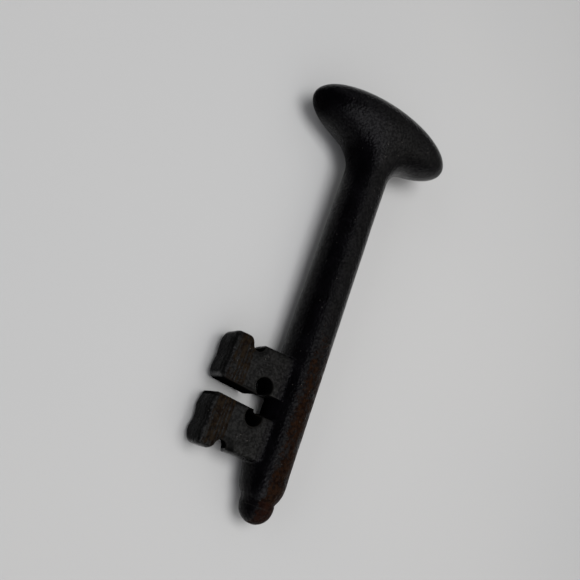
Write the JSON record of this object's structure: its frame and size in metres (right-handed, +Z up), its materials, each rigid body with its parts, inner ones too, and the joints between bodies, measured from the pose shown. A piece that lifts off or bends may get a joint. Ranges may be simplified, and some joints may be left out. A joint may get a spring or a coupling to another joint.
{
  "type": "hydrant key wrench",
  "caption": "Black cast-iron key wrench for hydrants: oval palm knob, round shank, slotted bit with clover holes and edge notches, and a grooved ball nose.",
  "frame": {"origin": "centre of the tool's footprint on the bench, at bench height, with the tool lying on its knob and the nose end of its shank", "axes": "+X along the shank towards the knob, +Y towards the side the bit sticks out, +Z up from the bench"},
  "size_m": [0.245, 0.0946, 0.042],
  "materials": {
    "knob_black": "satin black paint, worn, over a fine sand-cast skin",
    "shank_black": "satin black paint, worn, over a fine sand-cast skin, with brown rust towards the nose",
    "bit_black": "satin charcoal paint with brown wear bands near the flag ends",
    "nose_rust": "worn black paint over dark red-brown rust"
  },
  "bodies": {
    "root": {"grip_knob": "knob_black", "shank": "shank_black", "upper_bit_flag": "bit_black", "lower_bit_flag": "bit_black", "nose_pilot": "nose_rust"}
  },
  "joints": []
}
